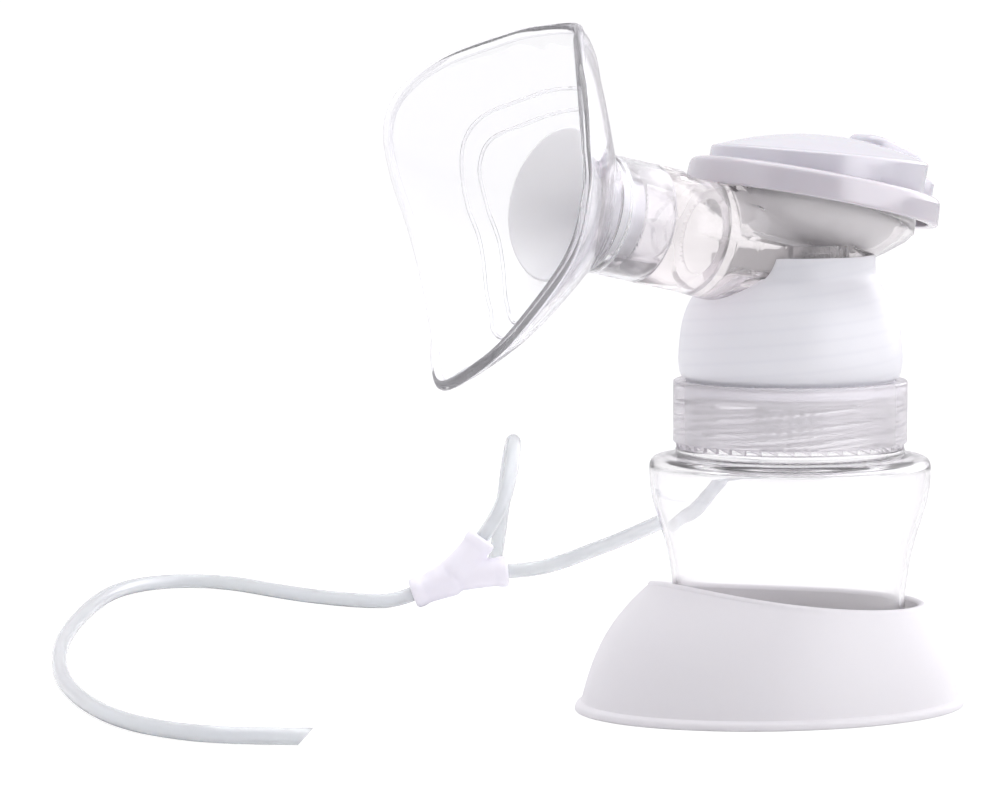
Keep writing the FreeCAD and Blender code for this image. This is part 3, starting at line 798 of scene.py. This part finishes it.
# Half outlines as (up the face, half width): the rim adds its reach beyond the mouth.
rimHalf = [(47.4, 0.0, 34.0), (45.4, 11.5, 38.5), (42.0, 19.8, 43.0), (34.1, 35.5, 50.5), (24.6, 46.8, 54.6),
           (14.2, 51.6, 54.6), (1.4, 50.3, 50.8), (-16.0, 40.2, 46.2), (-37.5, 21.4, 47.2), (-48.0, 11.2, 50.5),
           (-53.9, 0.0, 53.0)]
outerLineHalf = [(31.4, 0.0), (30.6, 9.0), (27.5, 17.0), (22.6, 27.0), (18.8, 31.8), (14.3, 34.8), (9.4, 36.0),
                 (3.4, 36.0), (-1.8, 34.4), (-7.4, 31.3), (-23.9, 18.9), (-31.9, 10.9), (-36.0, 5.6), (-37.6, 0.0)]
innerLineHalf = [(26.2, 0.0), (25.4, 6.8), (22.8, 14.4), (17.3, 25.6), (14.0, 29.6), (9.6, 31.6), (4.9, 32.0),
                 (-0.7, 30.3), (-6.9, 26.9), (-24.1, 13.8), (-29.7, 7.4), (-32.4, 3.0), (-33.0, 0.0)]


# The half outline mirrored, smoothed and cut into equal steps
def closedLoop(halfOutline, count):
    half = [Vector(p).to_3d() for p in halfOutline]
    loop = half + [Vector((p.x, -p.y, p.z)) for p in reversed(half[1:-1])]
    size = len(loop)
    steps = 24
    fineLoop = []
    for n in range(size):
        a, b, c, d = (loop[(n + k - 1) % size] for k in range(4))
        for k in range(steps):
            t = k / steps
            fineLoop.append(between(a, b, c, d, t))
    lengths = [0.0]
    for a, b in zip(fineLoop, fineLoop[1:] + fineLoop[:1]):
        lengths.append(lengths[-1] + (b - a).length)
    result = []
    m = 0
    for i in range(count):
        want = lengths[-1] * i / count
        while lengths[m + 1] < want:
            m += 1
        share = (want - lengths[m]) / (lengths[m + 1] - lengths[m])
        result.append(fineLoop[m].lerp(fineLoop[(m + 1) % len(fineLoop)], share))
    return result


# A point of the flange's back face: share 0 at the throat, 1 at the rim
def flangePoint(rim, s):
    out = Vector((rim.x, rim.y, 0)).normalized()
    start = out * 16.0 + up * 17.0
    bend = out * 19.0 + up * 23.0
    curl = rim - out * 2.4 - up * 12.5
    return start * (1 - s) ** 3 + bend * 3 * s * (1 - s) ** 2 + curl * 3 * s * s * (1 - s) + rim * s ** 3


def flangeGrid(count, rows):
    rims = closedLoop(rimHalf, count)
    grid = [[flangePoint(rim, j / rows) for rim in rims] for j in range(rows + 1)]
    normals = []
    for j in range(rows + 1):
        row = []
        for i in range(count):
            along = grid[min(j + 1, rows)][i] - grid[max(j - 1, 0)][i]
            around = grid[j][(i + 1) % count] - grid[j][i - 1]
            normal = along.cross(around).normalized()
            inward = Vector((-grid[j][i].x, -grid[j][i].y, 20.0))
            row.append(normal if normal.dot(inward) > 0 else -normal)
        normals.append(row)
    return grid, normals


def makeShield():
    count, rows = shieldLook["columns"], shieldLook["rows"]
    wall, bead = shieldLook["wall"], shieldLook["bead"]
    grid, normals = flangeGrid(count, rows)
    rings = []
    def turnedRing(r, z):
        ring = []
        for i in range(count):
            out = Vector((grid[0][i].x, grid[0][i].y, 0)).normalized()
            ring.append(out * r + up * z)
        return ring
    spigot, neck, tunnel, tunnelOut = (shieldLook[key] for key in ("spigot", "neck", "tunnel", "tunnelOut"))
    for r, z in rounded([(spigot, 0.2), (neck, 0.2, 0.4), (neck, 12.0)], 4):
        rings.append(turnedRing(r, z))
    rings += grid[:-1]
    arc = []
    start = math.asin(wall / 2 / bead)
    for k in range(13):
        turn = start + (2 * math.pi - 2 * start) * k / 12
        ring = []
        for i in range(count):
            tangent = (grid[-1][i] - grid[-2][i]).normalized()
            normal = normals[-1][i]
            middle = grid[-1][i] + normal * wall / 2 - tangent * bead
            ring.append(middle - tangent * bead * math.cos(turn) - normal * bead * math.sin(turn))
        arc.append(ring)
    rings[-1] = [a.lerp(b, 0.6) for a, b in zip(rings[-1], rings[-2])]
    rings += arc
    inner = [[grid[j][i] + normals[j][i] * wall for i in range(count)] for j in range(rows + 1)]
    inner[-2] = [a.lerp(b, 0.6) for a, b in zip(inner[-2], inner[-3])]
    rings += inner[-2:2:-1]
    for r, z in rounded([(14.2, 18.0), (tunnel, 15.6, 0.8), (tunnel, -3.0, 0.3), (tunnelOut, -3.0, 0.4),
                         (tunnelOut, 13.6, 0.5), (spigot, 13.6, 0.5), (spigot, 0.6)], 4):
        rings.append(turnedRing(r, z))
    piece = skin("shieldFlange", rings, shieldClear, loop=True, matrix=toMouth, sharp=45)
    place(piece, "shield", "clear_shield", "breast_shield")
    makeContour("outerLine", outerLineHalf, grid, normals)
    makeContour("innerLine", innerLineHalf, grid, normals)
    print("shield made")


# A round rib carried along a closed line of points
def ribTree():
    tree = bpy.data.node_groups.new("ribAlongLine", "GeometryNodeTree")
    tree.interface.new_socket("Line", in_out="INPUT", socket_type="NodeSocketObject")
    radius = tree.interface.new_socket("Rib radius", in_out="INPUT", socket_type="NodeSocketFloat")
    radius.default_value = 0.0004
    tree.interface.new_socket("Finish", in_out="INPUT", socket_type="NodeSocketMaterial")
    tree.interface.new_socket("Geometry", in_out="OUTPUT", socket_type="NodeSocketGeometry")
    nodes, links = tree.nodes, tree.links
    given = nodes.new("NodeGroupInput")
    line = nodes.new("GeometryNodeObjectInfo")
    links.new(given.outputs["Line"], line.inputs["Object"])
    curve = nodes.new("GeometryNodeMeshToCurve")
    links.new(line.outputs["Geometry"], curve.inputs["Mesh"])
    circle = nodes.new("GeometryNodeCurvePrimitiveCircle")
    circle.inputs["Resolution"].default_value = 8
    links.new(given.outputs["Rib radius"], circle.inputs["Radius"])
    sweep = nodes.new("GeometryNodeCurveToMesh")
    links.new(curve.outputs["Curve"], sweep.inputs["Curve"])
    links.new(circle.outputs["Curve"], sweep.inputs["Profile Curve"])
    real = nodes.new("GeometryNodeRealizeInstances")
    links.new(sweep.outputs[0], real.inputs[0])
    finish = nodes.new("GeometryNodeSetMaterial")
    links.new(real.outputs[0], finish.inputs["Geometry"])
    links.new(given.outputs["Finish"], finish.inputs["Material"])
    out = nodes.new("NodeGroupOutput")
    links.new(finish.outputs[0], out.inputs["Geometry"])
    return tree


# The point of the front face over a spot of the outline: columns keep their angle from the axis
def onFace(at, grid, normals):
    angle = math.atan2(at.y, at.x)
    gap = lambda i: abs(math.remainder(math.atan2(grid[-1][i].y, grid[-1][i].x) - angle, 2 * math.pi))
    near = min(range(len(grid[0])), key=gap)
    reach = math.hypot(at.x, at.y)
    wall = shieldLook["wall"]
    column = [grid[j][near] + normals[j][near] * wall for j in range(len(grid))]
    radii = [math.hypot(p.x, p.y) for p in column]
    j = next(k for k in range(1, len(radii)) if radii[k] >= reach or k == len(radii) - 1)
    share = (reach - radii[j - 1]) / (radii[j] - radii[j - 1])
    height = column[j - 1].z + (column[j].z - column[j - 1].z) * share
    return Vector((at.x, at.y, height))


# A raised line on the face, between the throat and the rim, shaped like a soft trapezoid
def makeContour(name, halfOutline, grid, normals):
    count = shieldLook["lineSteps"]
    spots = [tuple(onFace(at, grid, normals) * mm) for at in closedLoop(halfOutline, count)]
    mesh = bpy.data.meshes.new(name + "Line")
    mesh.from_pydata(spots, [(i, (i + 1) % count) for i in range(count)], [])
    line = bpy.data.objects.new(name + "Line", mesh)
    bpy.context.scene.collection.objects.link(line)
    tree = bpy.data.node_groups.get("ribAlongLine") or ribTree()
    values = {"Line": line, "Rib radius": shieldLook["line"] * mm, "Finish": shieldClear}
    piece = growTree(name, tree, values, shieldClear)
    bpy.data.objects.remove(line)
    piece.data.transform(toMouth)
    place(piece, "shield", "clear_shield")


cushionLook = {"bore": 8.2, "neck": 9.3, "low": 5.0, "rim": 20.0, "rimTop": 26.2, "lift": 2.2, "columns": 144}


def makeCushion():
    bore, neck, low = cushionLook["bore"], cushionLook["neck"], cushionLook["low"]
    rim, rimTop = cushionLook["rim"], cushionLook["rimTop"]
    outside = rounded([(neck, low), (neck, 14.2, 3.0), (13.4, 18.6, 3.0), (rim, rimTop)], 8)
    edge = rounded([(rim, rimTop), (20.9, 27.4, 0.5), (20.2, 27.9, 0.5), (19.2, 26.6)], 5)[1:]
    inside = rounded([(19.2, 26.6), (12.4, 19.6, 3.0), (bore, 15.0, 3.0), (bore, low)], 8)[1:]
    profile = outside + edge + inside
    count = cushionLook["columns"]
    rings = []
    for r, z in profile:
        ring = []
        for i in range(count):
            angle = 2 * math.pi * i / count
            side = math.sin(angle) ** 2
            push = max(0.0, (r - 14.0) / 6.5) * cushionLook["lift"] * side
            ring.append((r * math.cos(angle), r * math.sin(angle), z + push))
        rings.append(ring)
    piece = skin("shieldCushion", rings, siliconeMilk, loop=True, matrix=toMouth, sharp=50)
    place(piece, "shield", "milky_silicone", "shield_cushion")
    print("cushion made")


connectorLook = {
    "middle": (29.9, 230.4, 10.9), "voxel": 0.42, "relax": 16,
    "arm": [(0, 0), (4.75, 0, 0.7), (4.85, 2.8, 0.8), (4.45, 3.6, 0.8), (4.5, 6.0, 3.0)],
    "webs": ((0, 2, 0.62, 4.4), (0, 1, 0.45, 4.7)),  # two arms, how far along them, and the web's radius
}


def makeConnector():
    middle = Vector(connectorLook["middle"])
    routes = (hoseMainRoute, hoseHeadRoute[::-1], hoseBranchRoute)
    ends = [Vector(route[0]) for route in routes]
    parts = []
    for n, (route, end) in enumerate(zip(routes, ends)):
        inward = (end - Vector(route[1])).normalized()
        length = (end - middle).length
        turn = up.rotation_difference(inward).to_matrix().to_4x4()
        at = Matrix.Translation(end * mm) @ turn
        profile = rounded(connectorLook["arm"] + [(5.3, length, 2.0), (0, length + 4.5)], 5)
        parts.append(lathe(f"arm{n}", profile, connectorWhite, at, columns=64))
    for first, second, share, radius in connectorLook["webs"]:
        start = middle.lerp(ends[first], share)
        end = middle.lerp(ends[second], share)
        angles = [math.pi * n / 16 for n in range(17)]
        ball = [(radius * math.sin(a), -radius * math.cos(a)) for a in angles]
        for k in range(1, 8):
            t = k / 8
            at = start * (1 - t) ** 2 + middle * 2 * t * (1 - t) + end * t ** 2
            spot = Matrix.Translation(at * mm)
            parts.append(lathe(f"web{first}{second}{k}", ball, connectorWhite, spot, columns=32))
    whole = parts[0]
    for other in parts[1:]:
        join = whole.modifiers.new("join", "BOOLEAN")
        join.operation = "UNION"
        join.solver = "EXACT"
        join.object = other
    remesh = whole.modifiers.new("voxels", "REMESH")
    remesh.mode = "VOXEL"
    remesh.voxel_size = connectorLook["voxel"] * mm
    relax = whole.modifiers.new("relax", "SMOOTH")
    relax.factor = 0.5
    relax.iterations = connectorLook["relax"]
    depsgraph = bpy.context.evaluated_depsgraph_get()
    mesh = bpy.data.meshes.new_from_object(whole.evaluated_get(depsgraph), depsgraph=depsgraph)
    for part in parts:
        bpy.data.objects.remove(part)
    piece = finishMesh("hoseConnector", mesh, connectorWhite, 60)
    place(piece, "bottle", "connector_white", "y_connector")
    print("connector made")
    return piece


studioLook = {
    "behind": (0.84, 0.83, 0.86), "front": (0.20, 0.185, 0.21),  # tones behind the object and in front of it
    "card": (4.0, 3.9, 4.1),  # a bright card to the right, seen in gloss only
    "floorHalf": 40.0, "floorColour": (0.9, 0.9, 0.9), "floorGlow": 1.2, "floorShare": 0.72,
    "target": (0.0, 0.0, 0.09),
    "overhead": {"at": (-0.05, 0.05, 1.1), "size": (1.1, 1.1), "power": 9.0},
    "rightSide": {"at": (0.49, -1.10, 0.40), "size": (1.4, 1.0), "power": 4.5},
}


# 1 for what the camera sees, straight or through clear plastic
def seenRays(nodes, links, path):
    return mathNode(nodes, links, "MAXIMUM", path.outputs["Is Camera Ray"], path.outputs["Is Transmission Ray"])


def addWorld():
    world = bpy.data.worlds.new("studio")
    bpy.context.scene.world = world
    world.use_nodes = True
    nodes, links = world.node_tree.nodes, world.node_tree.links
    nodes.clear()
    path = nodes.new("ShaderNodeLightPath")
    coords = nodes.new("ShaderNodeTexCoord")
    front = nodes.new("ShaderNodeVectorMath")
    front.operation = "DOT_PRODUCT"
    front.inputs[1].default_value = (-cameraLook["away"][0], -cameraLook["away"][1], -0.1)
    links.new(coords.outputs["Generated"], front.inputs[0])
    facing = mapRange(nodes, links, front.outputs["Value"], 0.0, 1.0, -0.25, 0.85)
    tone = mixColour(nodes, links, facing, studioLook["behind"], studioLook["front"])
    side = nodes.new("ShaderNodeVectorMath")
    side.operation = "DOT_PRODUCT"
    side.inputs[1].default_value = (cameraLook["away"][1], -cameraLook["away"][0], 0)
    links.new(coords.outputs["Generated"], side.inputs[0])
    card = mapRange(nodes, links, side.outputs["Value"], 0.0, 1.0, 0.28, 0.60)
    only = mathNode(nodes, links, "MULTIPLY", card, path.outputs["Is Glossy Ray"])
    tone = mixColour(nodes, links, only, tone, studioLook["card"])
    soft = nodes.new("ShaderNodeBackground")
    links.new(tone, soft.inputs["Color"])
    white = nodes.new("ShaderNodeBackground")
    white.inputs["Color"].default_value = (1, 1, 1, 1)
    seen = seenRays(nodes, links, path)
    mixShader(nodes, links, seen, soft, white, nodes.new("ShaderNodeOutputWorld"))


def addFloor():
    mesh = bpy.data.meshes.new("floor")
    size = studioLook["floorHalf"]
    mesh.from_pydata([(-size, -size, 0), (size, -size, 0), (size, size, 0), (-size, size, 0)], [], [(0, 1, 2, 3)])
    material, nodes, links, shader, output = newMaterial("floorPale")
    shader.inputs["Base Color"].default_value = (*studioLook["floorColour"], 1)
    shader.inputs["Roughness"].default_value = 0.9
    glow = nodes.new("ShaderNodeEmission")
    glow.inputs["Strength"].default_value = studioLook["floorGlow"]
    path = nodes.new("ShaderNodeLightPath")
    seen = seenRays(nodes, links, path)
    share = mathNode(nodes, links, "MULTIPLY", seen, studioLook["floorShare"])
    mixShader(nodes, links, share, shader, glow, output)
    mesh.materials.append(material)
    floor = bpy.data.objects.new("floor", mesh)
    bpy.context.scene.collection.objects.link(floor)


def addLamp(name):
    look = studioLook[name]
    data = bpy.data.lights.new(name, "AREA")
    data.shape = "RECTANGLE"
    data.size, data.size_y = look["size"]
    data.energy = look["power"]
    lamp = bpy.data.objects.new(name, data)
    bpy.context.scene.collection.objects.link(lamp)
    lamp.location = look["at"]
    aim = Vector(studioLook["target"]) - Vector(look["at"])
    lamp.rotation_euler = aim.to_track_quat("-Z", "Y").to_euler()


addCamera()
headHose, headLine = hose("headHose", hoseHeadRoute)
mainHose, mainLine = hose("mainHose", hoseMainRoute, slant=0.9)
branchHose, branchLine = hose("branchHose", hoseBranchRoute)
connector = makeConnector()
place(mainHose, "bottle", "tubing", "hose_main")
place(branchHose, "bottle", "tubing", "hose_branch")
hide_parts("hose_head")
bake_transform(headHose)
print("hoses laid")
makeStand()
makeBottle()
makeCollar()
makeTeeth()
makeAdapter()
smoothCopy("pump_body", "pumpBody", bodyClear, "head", "clear_body")
smoothCopy("duckbill_valve", "duckbillValve", siliconeMilk, "head", "milky_silicone")
makeCapRing()
makeLid()
makePort()
makeDiaphragm()
makeShield()
makeCushion()
addFloor()
addWorld()
addLamp("overhead")
addLamp("rightSide")
print("studio lit")
bpy.context.scene.view_settings.view_transform = "Standard"
